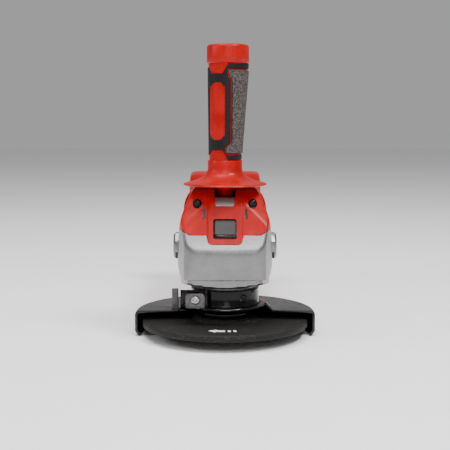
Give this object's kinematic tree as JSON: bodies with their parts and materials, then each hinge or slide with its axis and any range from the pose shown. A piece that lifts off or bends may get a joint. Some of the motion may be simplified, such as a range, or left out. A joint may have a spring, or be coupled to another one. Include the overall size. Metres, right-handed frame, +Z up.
{
  "type": "angle grinder",
  "caption": "Hand-held angle grinder with guard, depressed-centre disc, side handle, spindle lock, slide switch and a geared motor inside.",
  "frame": {"origin": "middle of the tool seen from above, level with the guard's lower rim", "axes": "+Z up along the disc spindle, nose towards -Y, motor shaft along Y"},
  "size_m": [0.137, 0.3095, 0.2184],
  "materials": {
    "cast_aluminium": "bead-blasted casting",
    "red_plastic": "satin moulded nylon",
    "black_rubber": "soft overmould with fine texture",
    "grey_plastic": "satin",
    "black_plastic": "satin",
    "black_paint": "gloss enamel",
    "bright_steel": "turned",
    "dark_steel": "black oxide",
    "gear_steel": "ground",
    "screw_steel": "zinc plated",
    "bronze": "sintered",
    "felt": "felt",
    "abrasive": "coarse resin-bonded grit",
    "lamination_steel": "stacked sheet",
    "copper": "enamelled wire",
    "brass": "pressed",
    "carbon": "graphite",
    "fan_plastic": "moulded"
  },
  "bodies": {
    "tool": {"gear_housing": "cast_aluminium", "bearing_plate": "cast_aluminium", "plate_screws": "screw_steel", "head_cover": "red_plastic", "cover_screws": "dark_steel", "spindle_bearing": "bright_steel", "bearing_retainer": "screw_steel", "retainer_screws": "screw_steel", "spindle_seal": "felt", "top_bush": "bronze", "front_bearing": "bright_steel", "front_retainer": "screw_steel", "rear_bearing": "bright_steel", "bearing_cup": "black_rubber", "air_baffle": "black_plastic", "stator_core": "lamination_steel", "field_coils": "copper", "brush_holders": "brass", "carbon_brushes": "carbon", "brush_springs": "bright_steel", "brush_caps": "black_plastic", "motor_housing": "red_plastic", "housing_screws": "screw_steel", "left_shell": "red_plastic", "right_shell": "red_plastic", "shell_screws": "screw_steel", "switch_module": "black_plastic", "cord_inlet": "black_rubber", "lock_spring": "bright_steel"},
    "spindle_set": {"spindle": "bright_steel", "crown_gear": "gear_steel", "inner_flange": "dark_steel", "grinding_disc": "abrasive", "clamp_nut": "dark_steel"},
    "armature": {"armature_shaft": "bright_steel", "pinion": "gear_steel", "pinion_nut": "dark_steel", "armature_core": "lamination_steel", "armature_windings": "copper", "commutator": "copper", "fan": "fan_plastic"},
    "lock": {"lock_button": "grey_plastic", "lock_pin": "bright_steel"},
    "guard": {"guard_shell": "black_paint", "guard_band": "black_paint", "band_screw": "screw_steel", "band_nut": "screw_steel"},
    "switch": {"switch_slider": "black_plastic", "switch_link": "bright_steel"},
    "side_handle": {"handle_core": "red_plastic", "handle_sleeve": "black_rubber", "handle_stud": "bright_steel"}
  },
  "joints": [
    {"name": "spindle_spin", "type": "hinge", "parent": "tool", "child": "spindle_set", "pos_m": [0, -0.09225, 0.02], "axis": [0, 0, 1], "continuous": true},
    {"name": "armature_spin", "type": "hinge", "parent": "tool", "child": "armature", "pos_m": [0, -0.01225, 0.0775], "axis": [0, 1, 0], "continuous": true},
    {"name": "lock_press", "type": "slide", "parent": "tool", "child": "lock", "axis": [0, 0, -1], "range_m": [0, 0.0028], "stiffness_N_per_m": 800, "springref_m": -0.002, "deforming": ["lock_spring"]},
    {"name": "guard_turn", "type": "hinge", "parent": "tool", "child": "guard", "pos_m": [0, -0.09225, 0.031], "axis": [0, 0, 1], "range_deg": [-90, 90]},
    {"name": "switch_slide", "type": "slide", "parent": "tool", "child": "switch", "axis": [0, -1, 0], "range_m": [0, 0.007]},
    {"name": "handle_turn", "type": "hinge", "parent": "tool", "child": "side_handle", "pos_m": [0, -0.09225, 0.11], "axis": [0, 0, 1], "range_deg": [0, 360]}
  ],
  "couplings": [
    {"joint": "armature_spin", "follows": "spindle_spin", "ratio": 3}
  ]
}
